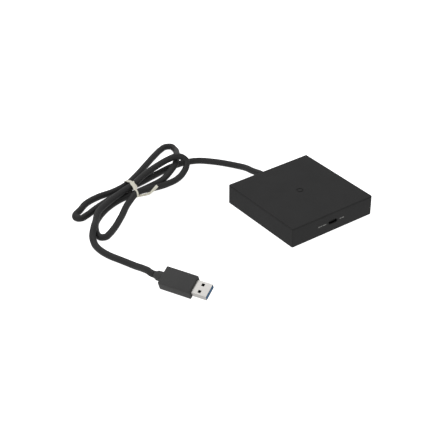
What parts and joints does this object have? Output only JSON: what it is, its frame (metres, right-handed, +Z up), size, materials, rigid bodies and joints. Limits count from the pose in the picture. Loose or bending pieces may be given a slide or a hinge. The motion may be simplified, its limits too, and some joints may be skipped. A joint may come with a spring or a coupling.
{
  "type": "usb network adapter",
  "caption": "Flat square network adapter box with a USB-C style socket and a captive looped cable that ends in a USB-A plug, held by a wire tie.",
  "frame": {"origin": "centre of the case's footprint, on the plane of its feet", "axes": "+Z up out of the flat top cover, front face with the socket at -Y, cable leaves the rear at +Y"},
  "size_m": [0.2047, 0.2041, 0.0172],
  "materials": {
    "case_plastic": "fine moulded texture",
    "base_plastic": "matt",
    "foot_rubber": "matt",
    "screw_steel": "zinc",
    "board": "solder mask",
    "shield_steel": "tinned",
    "chip_black": "matt",
    "pad_grey": "soft",
    "ceramic": "fired",
    "gold_contact": "plated",
    "coax_jacket": "smooth",
    "socket_metal": "plated",
    "socket_black": "matt",
    "header_ivory": "matt",
    "wire_jackets": "smooth",
    "cable_jacket": "satin",
    "mould_grey": "fine moulded texture",
    "mould_white": "matt",
    "plug_metal": "nickel plated",
    "tongue_blue": "satin",
    "tie_cream": "soft"
  },
  "bodies": {
    "root": {"top_cover": "case_plastic", "bottom_cover": "base_plastic", "case_screws": "screw_steel", "rubber_feet": "foot_rubber", "main_board": "board", "shield_frame": "shield_steel", "shield_lid": "shield_steel", "radio_chip": "chip_black", "thermal_pad": "pad_grey", "bridge_chip": "chip_black", "crystal": "shield_steel", "passives": "ceramic", "antenna_left": "gold_contact", "antenna_right": "gold_contact", "coax_leads": "coax_jacket", "coax_plugs": "gold_contact", "socket_shell": "socket_metal", "socket_tongue": "socket_black", "socket_contacts": "gold_contact", "wire_header": "header_ivory", "lead_wires": "wire_jackets", "cable_gland": "cable_jacket", "cable": "cable_jacket", "plug_strain_relief": "mould_grey", "plug_overmould": "mould_grey", "plug_inner_mould": "mould_white", "plug_shell": "plug_metal", "plug_tongue": "tongue_blue", "plug_front_contacts": "gold_contact", "plug_rear_contacts": "gold_contact", "wire_tie": "tie_cream"}
  },
  "joints": []
}
